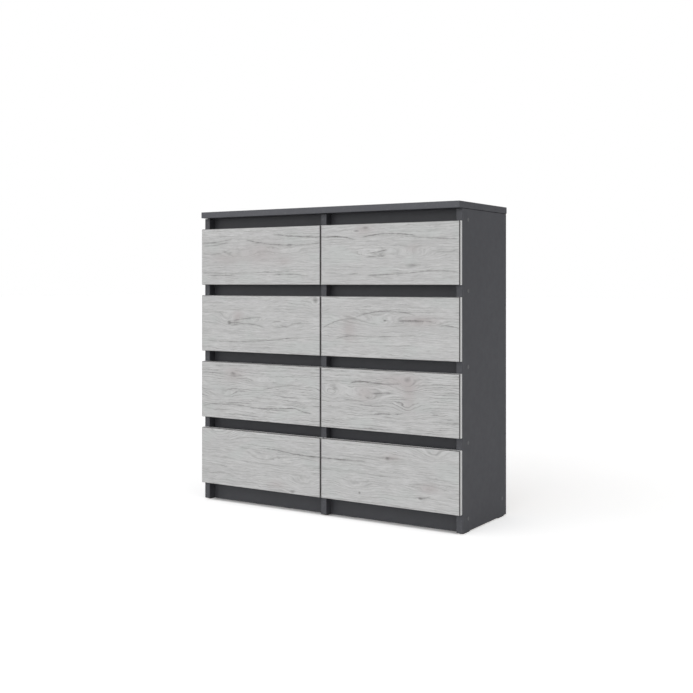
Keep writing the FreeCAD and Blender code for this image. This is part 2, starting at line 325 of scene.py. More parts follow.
def knot_group():
    """How a knot pushes the grain aside (Shift) and darkens the print (Dark)."""
    labels = ("X", "Z", "Middle X", "Middle Z", "Half length", "Half height", "Heart")
    group, graph, given, result = new_group("knot", labels, ("Shift", "Dark"))
    up, square = oval(graph, given)
    wide = graph.math("EXPONENT", graph.times(square, -0.12))
    push = graph.times(graph.times(up, given["Half height"]), -0.75)
    graph.put(result["Shift"], graph.times(push, wide))
    radius = graph.math("SQRT", square)
    heart = graph.span(radius, 1.15, 0.25)
    rings = graph.math("SINE", graph.times(radius, 9.0))
    ringed = graph.times(graph.span(rings, 0.2, 1.0), graph.span(radius, 3.2, 0.8))
    dark = graph.math("MULTIPLY_ADD", ringed, 0.14, heart)
    graph.put(result["Dark"], graph.times(dark, given["Heart"]))
    return group


def line_group():
    """Darkness of one grain line, z = a + b x + c x^2 between two ends."""
    labels = ("X", "Z", "Width", "a", "b", "c", "Start", "End", "Dark")
    group, graph, given, result = new_group("grain_line", labels, ("Dark",))
    rise = graph.math("MULTIPLY_ADD", given["c"], given["X"], given["b"])
    height = graph.math("MULTIPLY_ADD", rise, given["X"], given["a"])
    away = graph.math("ABSOLUTE", graph.minus(given["Z"], height))
    core = graph.span(away, given["Width"], 0.0)
    halo = graph.span(away, graph.times(given["Width"], 4.0), 0.0, 0.0, 0.35)
    begin = graph.span(graph.minus(given["X"], given["Start"]), -8.0, 12.0)
    end = graph.span(graph.minus(given["End"], given["X"]), -8.0, 14.0)
    band = graph.times(graph.math("ADD", core, halo), graph.times(begin, end))
    graph.put(result["Dark"], graph.times(band, given["Dark"]))
    return group


def mound_group():
    """A soft oval mound, for a cloud of colour or for lifting the grain."""
    labels = ("X", "Z", "Middle X", "Middle Z", "Half length", "Half height", "Strength")
    group, graph, given, result = new_group("mound", labels, ("Amount",))
    square = oval(graph, given)[1]
    mound = graph.math("EXPONENT", graph.times(square, -0.9))
    graph.put(result["Amount"], graph.times(mound, given["Strength"]))
    return group


GROUPS = {"knot": knot_group(), "line": line_group(), "mound": mound_group()}


def use_group(graph, key, values):
    """Add a group node with its values in order; returns its outputs."""
    made = graph.tree.nodes.new("ShaderNodeGroup")
    made.node_tree = GROUPS[key]
    for socket, value in zip(made.inputs, values):
        graph.put(socket, value)
    return made.outputs


def parabola(first, middle, last):
    """Coefficients of z = a + b x + c x^2 through three points."""
    (x0, z0), (x1, z1), (x2, z2) = first, middle, last
    slope_a = (z1 - z0) / (x1 - x0)
    slope_b = (z2 - z1) / (x2 - x1)
    c = (slope_b - slope_a) / (x2 - x0)
    b = slope_a - c * (x0 + x1)
    a = z0 - b * x0 - c * x0 * x0
    return a, b, c


OAK_LIGHT = (0.560, 0.559, 0.557)
OAK_MIDDLE = (0.510, 0.509, 0.508)
OAK_DARK = (0.140, 0.136, 0.132)
OAK_WARM = (0.450, 0.420, 0.420)
OAK_COOL = (0.505, 0.525, 0.515)
OAK_STREAK = (0.375, 0.373, 0.372)
OAK_FIBRE_DARK = (0.33, 0.328, 0.327)
OAK_FIBRE_LIGHT = (0.64, 0.64, 0.64)


def oak_marks(graph, row, x, z, z_line):
    """Knots, eyes and clouds of a row: lifts of the grain, darkness of the knots, warmth."""
    lifts = []
    knots = []
    for knot in KNOTS[row]:
        outputs = use_group(graph, "knot", (x, z_line, *knot))
        lifts.append(outputs["Shift"])
        knots.append(outputs["Dark"])
    for eye in EYES[row]:
        lifts.append(use_group(graph, "mound", (x, z_line, *eye))["Amount"])
    clouds = []
    for cloud in BLUSHES[row]:
        clouds.append(use_group(graph, "mound", (x, z, *cloud))["Amount"])
    return lifts, graph.total(knots), graph.total(clouds)


def oak_lines(graph, row, x, z_line):
    """Darkness of a row's written grain lines, which swell and thin along the row."""
    breath = graph.drift(x, 0.0, (0.05, 0.0), 9.0 * row, 3.0)
    width = graph.span(breath, 0.3, 0.7, 0.6, 1.9)
    lines = []
    for first, middle, last, dark in GRAIN_LINES[row]:
        a, b, c = parabola(first, middle, last)
        outputs = use_group(graph, "line", (x, z_line, width, a, b, c, first[0], last[0], dark))
        lines.append(outputs["Dark"])
    return graph.total(lines)


def oak(row):
    """Whitewashed oak laminate of one row; its print runs on from the left front to the right."""
    material, graph, place = new_material("oak_row_" + str(row))
    left_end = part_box("drawer_left_" + str(row) + "_front")[0]
    parts = graph.node("SeparateXYZ", {"Vector": place}).outputs
    x = graph.math("MULTIPLY_ADD", parts["X"], PER_METRE, -left_end.x * PER_METRE)
    z_flat = graph.math("MULTIPLY_ADD", parts["Z"], PER_METRE, -left_end.z * PER_METRE)
    depth = graph.times(parts["Y"], PER_METRE)

    # a slow wander and a quick tremble, so that no line is ruled straight
    wander = graph.minus(graph.drift(x, z_flat, (0.012, 0.03), 3.0 * row, 2.0), 0.5)
    tremble = graph.minus(graph.drift(x, z_flat, (0.06, 0.12), 5.0 * row, 2.0), 0.5)
    z = graph.math("MULTIPLY_ADD", wander, WANDER, z_flat)
    z_line = graph.math("MULTIPLY_ADD", tremble, TREMBLE, z_flat)

    lifts, knot_dark, warm = oak_marks(graph, row, x, z, z_line)
    grain = graph.total([z, graph.times(tremble, RIPPLE), *lifts])
    marks = graph.math("MULTIPLY_ADD", oak_lines(graph, row, x, z_line), LINE_WEIGHT, knot_dark)

    def fibres(along, across, detail, seed):
        """Noise drawn out along the grain: cells per millimetre along and across it."""
        spot = graph.vector(graph.times(x, along), graph.times(grain, across),
                            graph.math("MULTIPLY_ADD", depth, across * 0.5, seed + 11.0 * row))
        return graph.noise(spot, 1.0, detail, 0.6)

    broad = fibres(0.004, 0.045, 3.0, 0.0)
    streak = fibres(0.012, 0.16, 3.0, 20.0)
    fine = fibres(0.030, 0.42, 2.0, 40.0)
    pore = fibres(0.06, 1.2, 2.0, 60.0)
    pace = fibres(0.002, 0.05, 1.0, 80.0)

    # growth rings: thin dark contours of the grain, closed round the eyes and broken here and there
    phase = graph.math("MULTIPLY_ADD", pace, 3.0, graph.math("DIVIDE", grain, RING_SPACING))
    ring = graph.span(graph.math("PINGPONG", phase, 0.5), 0.26, 0.0)
    ring = graph.times(ring, graph.span(fibres(0.016, 0.10, 2.0, 100.0), 0.34, 0.66))

    color = graph.mix(graph.span(broad, 0.3, 0.7), OAK_MIDDLE, OAK_LIGHT)
    color = graph.mix(graph.span(streak, 0.35, 0.75, 0.0, 0.30), color, OAK_STREAK)
    color = graph.mix(graph.span(fine, 0.45, 0.75, 0.0, 0.46), color, OAK_FIBRE_DARK)
    color = graph.mix(graph.span(fine, 0.5, 0.25, 0.0, 0.48), color, OAK_FIBRE_LIGHT)
    cool = graph.drift(x, z, (0.009, 0.018), 31.0 * row, 1.0)
    color = graph.mix(graph.span(cool, 0.5, 0.7, 0.0, 0.5), color, OAK_COOL)
    color = graph.mix(graph.math("MULTIPLY", warm, 0.85, clamp=True), color, OAK_WARM)
    color = graph.mix(graph.times(ring, RING_DEPTH[row]), color, OAK_DARK)
    color = graph.mix(graph.span(pore, 0.54, 0.76, 0.0, 0.30), color, OAK_DARK)
    dark = graph.times(marks, graph.span(fine, 0.25, 0.7, 0.55, 1.0))
    color = graph.mix(graph.math("MULTIPLY", dark, 0.76, clamp=True), color, OAK_DARK)

    # pores, marks and rings lie a little below the face
    relief = graph.minus(graph.times(pore, -0.5), marks)
    relief = graph.math("MULTIPLY_ADD", ring, -0.5, relief)
    height = graph.math("MULTIPLY_ADD", fine, 0.4, relief)
    rough = graph.span(streak, 0.3, 0.7, 0.50, 0.62)
    return finish_material(material, graph, color, rough, graph.bump(height, 0.00012, 0.5), specular=0.35)


GRAPHITE_BASE = (0.0755, 0.0775, 0.0875)
GRAPHITE_SCUFF = (0.20, 0.20, 0.205)


def graphite(name="graphite_laminate", painted_light_tone=1.0, wear=0.0):
    """Matt graphite laminate, fine pearl texture; wear lightens scuffed edges; a tone paints light or shade.
    """
    material, graph, place = new_material(name)
    # a tone above one is painted light, below one painted shade, on a copy of the same laminate
    base = tuple(channel * painted_light_tone for channel in GRAPHITE_BASE)
    light = tuple(channel * 1.02 for channel in base)
    deep = tuple(channel * 0.98 for channel in base)
    mottle = graph.noise(place, 14.0, 3.0, 0.6)
    speckle = graph.noise(place, 1500.0, 2.0, 0.7)
    color = graph.mix(graph.span(mottle, 0.35, 0.65), deep, light)
    color = graph.mix(graph.span(speckle, 0.50, 0.75, 0.0, 0.35), color,
                      tuple(channel * 1.5 for channel in base))
    if wear:
        scuff = graph.noise(place, 160.0, 4.0, 0.75)
        color = graph.mix(graph.span(scuff, 0.55, 0.72, 0.0, wear), color, GRAPHITE_SCUFF)
    smear = graph.noise(place, 60.0, 3.0, 0.6)
    rough = graph.span(smear, 0.3, 0.7, 0.50, 0.56)
    pearl = graph.noise(place, 900.0, 2.0, 0.6)
    normal = graph.bump(pearl, 0.00006, 0.6)
    return finish_material(material, graph, color, rough, normal, specular=0.4)


def oak_band_and_highlight():
    """Plastic edge band, lighter than the oak print, with a faint printed grain; its lightness is partly
    painted highlight.
    """
    material, graph, place = new_material("oak_edge_band_and_painted_highlight")
    fibre = graph.noise(graph.stretch(place, (40.0, 900.0, 700.0)), 1.0, 3.0, 0.6)
    # near white, well above the oak print: the band's own light colour and partly painted highlight
    color = graph.mix(graph.span(fibre, 0.3, 0.75), (0.86, 0.858, 0.855), (0.78, 0.778, 0.775))
    rough = graph.span(fibre, 0.3, 0.7, 0.40, 0.50)
    normal = graph.bump(fibre, 0.00005, 0.5)
    return finish_material(material, graph, color, rough, normal, specular=0.45)


def rim_shade():
    """Painted shade on the rim between the face of a front and the light band behind it."""
    material, graph, place = new_material("front_rim_painted_shade")
    shade_mottle = graph.noise(place, 300.0, 3.0, 0.6)
    # near black: painted shade along the rim
    color = graph.mix(graph.span(shade_mottle, 0.3, 0.7), (0.09, 0.09, 0.09), (0.15, 0.148, 0.146))
    rough = graph.span(shade_mottle, 0.3, 0.7, 0.55, 0.75)
    return finish_material(material, graph, color, rough, graph.bump(shade_mottle, 0.00005), specular=0.3)


def white_laminate():
    """Smooth white laminate of the drawer boxes."""
    material, graph, place = new_material("box_laminate")
    cloud = graph.noise(place, 9.0, 2.0)
    color = graph.mix(graph.span(cloud, 0.3, 0.7), (0.70, 0.70, 0.69), (0.74, 0.74, 0.735))
    peel = graph.noise(place, 420.0, 2.0, 0.5)
    scratch = graph.noise(graph.stretch(place, (600.0, 14.0, 600.0)), 1.0, 2.0, 0.6)
    rough = graph.span(scratch, 0.35, 0.7, 0.36, 0.48)
    normal = graph.bump(peel, 0.00004, 0.6)
    return finish_material(material, graph, color, rough, normal, specular=0.45)


def chipboard():
    """Sawn chipboard: pressed flakes of several browns, with dark pits between them."""
    material, graph, place = new_material("raw_chipboard")
    cells = graph.node("TexVoronoi", {"Vector": graph.stretch(place, (420.0, 420.0, 1100.0)), "Scale": 1.0})
    tint = graph.node("SeparateColor", {"Color": cells.outputs["Color"]}).outputs[0]
    color = graph.mix(tint, (0.30, 0.20, 0.115), (0.52, 0.385, 0.245))
    pit = graph.noise(place, 900.0, 3.0, 0.7)
    color = graph.mix(graph.span(pit, 0.58, 0.72, 0.0, 0.8), color, (0.10, 0.065, 0.04))
    rough = graph.span(pit, 0.3, 0.7, 0.75, 0.92)
    normal = graph.bump(graph.math("ADD", cells.outputs["Distance"], pit), 0.0003, 0.7)
    return finish_material(material, graph, color, rough, normal, specular=0.2)


def hardboard():
    """Bare brown hardboard with fine pressed fibre."""
    material, graph, place = new_material("bare_hardboard")
    cloud = graph.noise(place, 12.0, 4.0, 0.65)
    fibre = graph.noise(place, 650.0, 4.0, 0.75, 1.5)
    color = graph.mix(graph.span(cloud, 0.3, 0.7), (0.255, 0.160, 0.088), (0.335, 0.220, 0.125))
    color = graph.mix(graph.span(fibre, 0.52, 0.75, 0.0, 0.5), color, (0.15, 0.088, 0.045))
    rough = graph.span(cloud, 0.3, 0.7, 0.5, 0.68)
    normal = graph.bump(fibre, 0.00012, 0.6)
    return finish_material(material, graph, color, rough, normal, specular=0.35)


def painted_hardboard(name, low, high):
    """The lacquered side of a hardboard sheet."""
    material, graph, place = new_material(name)
    cloud = graph.noise(place, 7.0, 3.0, 0.5)
    orange_peel = graph.noise(place, 520.0, 3.0, 0.6)
    color = graph.mix(graph.span(cloud, 0.3, 0.7), low, high)
    rough = graph.span(cloud, 0.35, 0.65, 0.38, 0.5)
    normal = graph.bump(orange_peel, 0.00006, 0.7)
    return finish_material(material, graph, color, rough, normal, specular=0.4)


def zinc():
    """Bright zinc plate on rolled steel, with drawing marks along the slide."""
    material, graph, place = new_material("zinc_plate")
    marks = graph.noise(graph.stretch(place, (900.0, 12.0, 900.0)), 1.0, 3.0, 0.6)
    bloom = graph.noise(place, 60.0, 3.0, 0.6)
    color = graph.mix(graph.span(bloom, 0.3, 0.7), (0.60, 0.61, 0.63), (0.72, 0.725, 0.735))
    rough = graph.span(marks, 0.3, 0.7, 0.26, 0.42)
    normal = graph.bump(marks, 0.00001, 0.4)
    return finish_material(material, graph, color, rough, normal, metallic=1.0)


def ball_steel():
    """Hardened balls with a film of grease."""
    material, graph, place = new_material("ball_steel")
    film = graph.noise(place, 700.0, 3.0, 0.6)
    color = graph.mix(graph.span(film, 0.4, 0.7), (0.68, 0.68, 0.69), (0.50, 0.46, 0.38))
    rough = graph.span(film, 0.3, 0.7, 0.12, 0.3)
    return finish_material(material, graph, color, rough, graph.bump(film, 0.00002, 0.4), metallic=1.0)


def plastic(name, low, high, rough_low, rough_high):
    """Moulded plastic with a spark-eroded texture."""
    material, graph, place = new_material(name)
    cloud = graph.noise(place, 180.0, 3.0, 0.6)
    grit = graph.noise(place, 2600.0, 2.0, 0.6)
    color = graph.mix(graph.span(cloud, 0.3, 0.7), low, high)
    rough = graph.span(cloud, 0.35, 0.65, rough_low, rough_high)
    normal = graph.bump(grit, 0.00004, 0.6)
    return finish_material(material, graph, color, rough, normal, specular=0.45)


OAKS = {row: oak(row) for row in ROWS}
GRAPHITE = graphite()
# the uprights' edge bands: a darker copy of the laminate, painted shade, with real wear
GRAPHITE_BAND_SHADE = graphite("graphite_edge_band_painted_shade", 0.83, 0.35)
# the top's edge bands: a lighter copy of the laminate, painted light, with real wear
GRAPHITE_TOP_BAND_LIGHT = graphite("graphite_top_band_painted_light", 1.08, 0.35)
# inner faces and rails: a darker copy of the laminate, painted shade where they lie recessed
GRAPHITE_INSIDE_SHADE = graphite("graphite_inside_painted_shade", 0.67)
# the plinth: a darker copy of the laminate, painted shade under the fronts
GRAPHITE_PLINTH_SHADE = graphite("graphite_plinth_painted_shade", 0.61)
OAK_BAND_AND_HIGHLIGHT = oak_band_and_highlight()
RIM_SHADE = rim_shade()
WHITE = white_laminate()
CHIPBOARD = chipboard()
HARDBOARD = hardboard()
WHITE_SHEET = painted_hardboard("white_hardboard", (0.66, 0.66, 0.65), (0.71, 0.71, 0.70))
GREY_SHEET = painted_hardboard("graphite_hardboard", (0.075, 0.077, 0.083), (0.092, 0.094, 0.10))
ZINC = zinc()
BALL_STEEL = ball_steel()
CAP_PLASTIC = plastic("cap_plastic", (0.115, 0.117, 0.123), (0.135, 0.137, 0.143), 0.38, 0.5)
BLACK_PLASTIC = plastic("glide_plastic", (0.012, 0.012, 0.0125), (0.02, 0.02, 0.021), 0.45, 0.6)


# ---- meshes -------------------------------------------------------------------------
AXES = {"x": 0, "y": 1, "z": 2}


def weigh_normals(piece):
    """Flat faces shade flat, and only the rounded edges turn."""
    modifier = piece.modifiers.new("weighted_normals", "WEIGHTED_NORMAL")
    modifier.mode = "FACE_AREA"
    modifier.keep_sharp = True


def rounded_form(box, radius):
    """A box between two corners with softened edges, as an open mesh."""
    low, high = box
    form = bmesh.new()
    bmesh.ops.create_cube(form, size=1.0)
    size = high - low
    middle = (high + low) / 2
    for vertex in form.verts:
        vertex.co = Vector([vertex.co[i] * size[i] for i in range(3)]) + middle
    bmesh.ops.bevel(form, geom=form.edges[:], offset=radius, segments=3, profile=0.5, affect="EDGES")
    return form


def skin_form(form, skins):
    """Give every face the index of its side's material; returns the materials."""
    materials = list(dict.fromkeys(skins.values()))
    for face in form.faces:
        face.smooth = True
        key = "edge"
        for letter, axis in AXES.items():
            if abs(face.normal[axis]) > FLAT:
                key = ("+" if face.normal[axis] > 0 else "-") + letter
        face.material_index = materials.index(skins.get(key, skins["edge"]))
    return materials


def close_form(form, name, materials, body, nodes=()):
    """Turn an open mesh into a piece, riding on its body and standing for CAD nodes."""
    mesh = bpy.data.meshes.new(name)
    form.to_mesh(mesh)
    form.free()
    for material in materials:
        mesh.materials.append(material)
    piece = bpy.data.objects.new(name, mesh)
    bpy.context.scene.collection.objects.link(piece)
    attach(piece, body)
    if nodes:
        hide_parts(*nodes)
    weigh_normals(piece)


def board(name, box, body, skins, nodes=(), radius=EDGE_ROUND):
    """A board between two corners. skins names a material per side, such as "-y", and for "edge"."""
    form = rounded_form(box, radius)
    close_form(form, name, skin_form(form, skins), body, nodes)


def front_board(name, box, body, row, nodes):
    """A drawer front: oak faces, light bands partly painted highlight, and a rim between them painted as
    shade.
    """
    form = rounded_form(box, EDGE_ROUND)
    low, high = box
    middle = (low + high) / 2
    rim_start = low.y + RIM_DEPTH - RIM_STEP
    for cut in (rim_start, low.y + RIM_DEPTH):
        geometry = form.verts[:] + form.edges[:] + form.faces[:]
        bmesh.ops.bisect_plane(form, geom=geometry, plane_co=(0, cut, 0), plane_no=(0, 1, 0))
    for vertex in form.verts:
        if vertex.co.y < rim_start + 0.1 * RIM_STEP:
            vertex.co.x -= math.copysign(RIM_INSET, vertex.co.x - middle.x)
            vertex.co.z -= math.copysign(RIM_INSET, vertex.co.z - middle.z)
    form.normal_update()
    materials = skin_form(form, {"edge": OAK_BAND_AND_HIGHLIGHT, "-y": OAKS[row], "+y": OAKS[row], "rim": RIM_SHADE})
    rim = materials.index(RIM_SHADE)
    # faces of the rim take the painted shade
    for face in form.faces:
        if face.normal.y > -FLAT and face.calc_center_median().y < low.y + RIM_DEPTH:
            face.material_index = rim
    for edge in form.edges:
        depths = [vertex.co.y for vertex in edge.verts]
        if min(depths) > rim_start - 0.1 * RIM_STEP and max(depths) < low.y + RIM_DEPTH + 0.1 * RIM_STEP:
            edge.smooth = False
    close_form(form, name, materials, body, nodes)


def solid_boxes(node):
    """Corner pairs of the separate solids in a CAD node, ordered by X, then from the top down."""
    form = bmesh.new()
    form.from_mesh(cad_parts[node].data)
    bmesh.ops.remove_doubles(form, verts=form.verts[:], dist=1e-6)
    waiting = set(form.verts)
    boxes = []
    while waiting:
        island = [waiting.pop()]
        low = island[0].co.copy()
        high = island[0].co.copy()
        while island:
            vertex = island.pop()
            low = Vector(map(min, low, vertex.co))
            high = Vector(map(max, high, vertex.co))
            for edge in vertex.link_edges:
                other = edge.other_vert(vertex)
                if other in waiting:
                    waiting.discard(other)
                    island.append(other)
        boxes.append((low, high))
    form.free()
    return sorted(boxes, key=lambda box: (round(box[0].x, 4), -round(box[0].z, 4), round(box[0].y, 4)))


# ---- carcass ------------------------------------------------------------------------
def carcass():
    """Panels, rails and backs, which stand still."""
    # the uprights' front ends and edges take the darker band copy: painted shade with real wear
    edged = {"edge": GRAPHITE_BAND_SHADE, "-y": GRAPHITE_BAND_SHADE, "+y": GRAPHITE_BAND_SHADE, "-z": CHIPBOARD,
             "+z": CHIPBOARD, "-x": GRAPHITE, "+x": GRAPHITE}
    inner_sides = {"side_panel_left": ("+x",), "side_panel_right": ("-x",), "centre_partition": ("-x", "+x")}
    # the top's edges take the lighter band copy: painted light with real wear
    top = {"edge": GRAPHITE_TOP_BAND_LIGHT, "-z": GRAPHITE, "+z": GRAPHITE}
    board("top_board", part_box("top_panel"), "carcass", top, ["top_panel"])
    for node, sides in inner_sides.items():
        low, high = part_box(node)
        upright = (low, high - Vector((0, 0, JOINT_GAP)))
        # the inner faces take the darker copy: painted shade
        skins = {**edged, **{side: GRAPHITE_INSIDE_SHADE for side in sides}}
        board(node + "_board", upright, "carcass", skins, [node])
    # the rails take the darker copy too, painted shade, and the plinth a darker one still
    for node, laminate in (("front_rails", GRAPHITE_INSIDE_SHADE), ("plinth_boards", GRAPHITE_PLINTH_SHADE),
                           ("rear_rails", GRAPHITE_INSIDE_SHADE)):
        rail = {"edge": laminate, "-x": CHIPBOARD, "+x": CHIPBOARD}
        for number, box in enumerate(solid_boxes(node), 1):
            board(node + "_board_" + str(number), box, "carcass", rail, [node], RAW_ROUND)
    sheet = {"edge": HARDBOARD, "+y": HARDBOARD, "-y": GREY_SHEET}
    for number, box in enumerate(solid_boxes("back_panels"), 1):
        board("back_sheet_" + str(number), box, "carcass", sheet, ["back_panels"], RAW_ROUND)


# ---- turned and rolled metal --------------------------------------------------------
def turned(form, place, axis, rings, segments=16):
    """Add a turned solid to an open mesh.

    rings are written as for the fastener heads, with heights along the axis.
    """
    axis = Vector(axis)
    across = axis.orthogonal().normalized()
    aside = axis.cross(across)
    loops = []
    for radius, height, *pull in rings:
        loop = []
        for step in range(segments):
            turn = 2 * math.pi * step / segments
            reach = radius * (pull[0] if pull and step % (segments // 4) else 1.0)
            offset = across * math.cos(turn) * reach + aside * math.sin(turn) * reach
            loop.append(form.verts.new(Vector(place) + offset + axis * height))
        loops.append(loop)
    made = [form.faces.new(loops[0][::-1]), form.faces.new(loops[-1])]
    for lower, upper in zip(loops, loops[1:]):
        for step in range(segments):
            after = (step + 1) % segments
            made.append(form.faces.new((lower[step], lower[after], upper[after], upper[step])))
    for face in made:
        face.smooth = len(face.verts) == 4


def heads(name, places, axis, rings, body):
    """A set of equal fastener heads as one piece."""
    form = bmesh.new()
    for place in places:
        turned(form, place, axis, rings)
    form.normal_update()
    close_form(form, name, [ZINC], body)


def rounded_path(corners, radius, steps=4):
    """A path of (across, up) points with its inner corners rounded."""
    path = [Vector(corners[0])]
    for before, corner, after in zip(corners, corners[1:], corners[2:]):
        corner = Vector(corner)
        back = (Vector(before) - corner).normalized()
        ahead = (Vector(after) - corner).normalized()
        start = corner + back * radius
        end = corner + ahead * radius
        for step in range(steps + 1):
            part = step / steps
            first = start.lerp(corner, part)
            path.append(first.lerp(corner.lerp(end, part), part))
    path.append(Vector(corners[-1]))
    return path


def rolled(form, path, thickness, start, end, place):
    """Add a rolled strip to an open mesh: a path bent from sheet, drawn out along Y.

    place turns a path point and a depth into a position.
    """
    rails = []
    for index, spot in enumerate(path):
        along = path[min(index + 1, len(path) - 1)] - path[max(index - 1, 0)]
        outwards = Vector((along.y, -along.x)).normalized() * (thickness / 2)
        row = []
        for point, depth in ((spot + outwards, start), (spot - outwards, start),
                             (spot - outwards, end), (spot + outwards, end)):
            row.append(form.verts.new(place(point, depth)))
        rails.append(row)
    form.faces.new(rails[0])
    form.faces.new(rails[-1][::-1])
    for row, following in zip(rails, rails[1:]):
        for corner in range(4):
            after = (corner + 1) % 4
            form.faces.new((row[corner], following[corner], following[after], row[after]))


def slide_member(name, box, web_high, curl, body, node):
    """One member of a telescopic slide: a web with two rounded bends and curled lips."""
    low, high = box
    middle = (low.z + high.z) / 2
    half = (high.z - low.z) / 2 - STEEL / 2
    reach = high.x - low.x
    web_x = high.x if web_high else low.x
    inwards = -1 if web_high else 1
    web = STEEL / 2
    corners = [(reach - LIP, -half - curl), (reach - LIP_BEND, -half), (web, -half), (web, half),
               (reach - LIP_BEND, half), (reach - LIP, half + curl)]
    form = bmesh.new()
    rolled(form, rounded_path(corners, BEND), STEEL, low.y, high.y,
           lambda point, depth: Vector((web_x + inwards * point.x, depth, middle + point.y)))
    bmesh.ops.recalc_face_normals(form, faces=form.faces[:])
    for face in form.faces:
        face.smooth = True
    close_form(form, name, [ZINC], body, [node])


def ball_cages(name, middle_box, web_high, body):
    """Balls in their cages, above and below, on both sides of a middle member.

    The outer pair sits at the rear, where the cabinet member holds it at full travel, and the
    inner pair at the front, where the drawer member does.
    """
    low, high = middle_box
    middle = (low.z + high.z) / 2
    half = (high.z - low.z) / 2
    inwards = -1 if web_high else 1
    web_x = high.x if web_high else low.x
    form = bmesh.new()
    outer = (web_x + inwards * OUTER_CAGE_SIDE, half + BALL_GAP / 2, high.y - OUTER_CAGE_END - CAGE_LENGTH)
    inner = (web_x + inwards * INNER_CAGE_SIDE, half - STEEL - BALL_GAP / 2, low.y + INNER_CAGE_END)
    balls = []
    for x, rise, start in (outer, inner):
        for turn in (-1, 1):
            z = middle + turn * rise
            corner = Vector((x - CAGE_HALF_WIDTH, start, z - CAGE_HALF_THICKNESS))
            opposite = Vector((x + CAGE_HALF_WIDTH, start + CAGE_LENGTH, z + CAGE_HALF_THICKNESS))
            cage = rounded_form((corner, opposite), CAGE_ROUND)
            spare = bpy.data.meshes.new("spare")
            cage.to_mesh(spare)
            cage.free()
            form.from_mesh(spare)
            bpy.data.meshes.remove(spare)
            for number in range(CAGE_BALLS):
                along = start + CAGE_LENGTH * (number + 0.5) / CAGE_BALLS
                balls.append(Vector((x, along, z)))
    for place in balls:
        made = bmesh.ops.create_icosphere(form, subdivisions=2, radius=BALL / 2)["verts"]
        bmesh.ops.translate(form, verts=made, vec=place)
        for vertex in made:
            for face in vertex.link_faces:
                face.material_index = 1
    for face in form.faces:
        face.smooth = True
    close_form(form, name, [ZINC, BALL_STEEL], body)


def spread(low, high, count):
    """Evenly spaced values from low to high."""
    return [low + (high - low) * number / (count - 1) for number in range(count)]


# ---- drawers ------------------------------------------------------------------------
def drawer_fasteners(body, sides, back_box, underside):
    """Screws of the box back, cam fittings of the front and nails of the bottom."""
    (left_low, left_high), (right_low, right_high) = sides
    back_y = (back_box[0].y + back_box[1].y) / 2
    heights = (left_low.z + BACK_SCREW_INSET, left_high.z - BACK_SCREW_INSET)
    for label, x, outwards in (("left", left_low.x, -1), ("right", right_high.x, 1)):
        places = [(x, back_y, z) for z in heights]
        heads(body + "_back_screws_" + label, places, (outwards, 0, 0), FLAT_HEAD, body)
    cam_y = left_low.y + CAM_DEPTH
    heights = (left_low.z + CAM_INSET, left_high.z - CAM_INSET)
    for label, x, inwards in (("left", left_high.x, 1), ("right", right_low.x, -1)):
        places = [(x, cam_y, z) for z in heights]
        heads(body + "_cams_" + label, places, (inwards, 0, 0), CAM_FACE, body)
    nails = []
    for y in spread(left_low.y + NAIL_BEHIND_FRONT, back_y - NAIL_BEFORE_BACK, BOTTOM_NAILS):
        nails.append((left_low.x + NAIL_IN_SIDE, y, underside))
        nails.append((right_high.x - NAIL_IN_SIDE, y, underside))
    for x in spread(left_high.x + NAIL_BESIDE_SIDE, right_low.x - NAIL_BESIDE_SIDE, BOTTOM_NAILS):
        nails.append((x, back_y, underside))
    heads(body + "_bottom_nails", nails, (0, 0, -1), NAIL_HEAD, body)


def drawer_slides(body, rider):
    """Drawer members of the two slides, and on the rider their middle members and balls."""
    moving_boxes = solid_boxes(body + "_slides")
    middle_boxes = solid_boxes(body + "_mid_slides")
    for label, moving, middle, on_left in zip(COLUMNS, moving_boxes, middle_boxes, (True, False)):
        slide_member(body + "_slide_" + label, moving, on_left, LIP_CURL, body, body + "_slides")
        slide_member(rider + "_" + label, middle, not on_left, 0.0, rider, body + "_mid_slides")
        ball_cages(rider + "_cages_" + label, middle, not on_left, rider)
        web_x, outwards = (moving[1].x, -1) if on_left else (moving[0].x, 1)
        height = (moving[0].z + moving[1].z) / 2
        places = []
        for depth in SLIDE_SCREWS:
            places.append((web_x + outwards * STEEL, moving[0].y + depth, height))
        heads(body + "_slide_screws_" + label, places, (outwards, 0, 0), PAN_HEAD, body)


def drawer(column, row):
    """One drawer: its front, its box, its fasteners and its slides."""
    body = "drawer_" + column + "_" + str(row)
    front_board(body + "_front_board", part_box(body + "_front"), body, row, [body + "_front"])
    side = {"edge": WHITE, "-y": CHIPBOARD, "+y": CHIPBOARD, "-z": CHIPBOARD}
    sides = solid_boxes(body + "_sides")
    for number, box in enumerate(sides, 1):
        name = body + "_side_" + str(number)
        board(name, box, body, side, [body + "_sides"], RAW_ROUND)
    back = {"edge": WHITE, "-x": CHIPBOARD, "+x": CHIPBOARD, "-z": CHIPBOARD}
    back_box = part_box(body + "_back")
    board(body + "_back_board", back_box, body, back, [body + "_back"], RAW_ROUND)
    sheet = {"edge": HARDBOARD, "+z": WHITE_SHEET, "-z": HARDBOARD}
    sheet_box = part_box(body + "_bottom")
    board(body + "_bottom_sheet", sheet_box, body, sheet, [body + "_bottom"], RAW_ROUND)
    drawer_fasteners(body, sides, back_box, sheet_box[0].z)
    drawer_slides(body, "mid_slides_" + column + "_" + str(row))


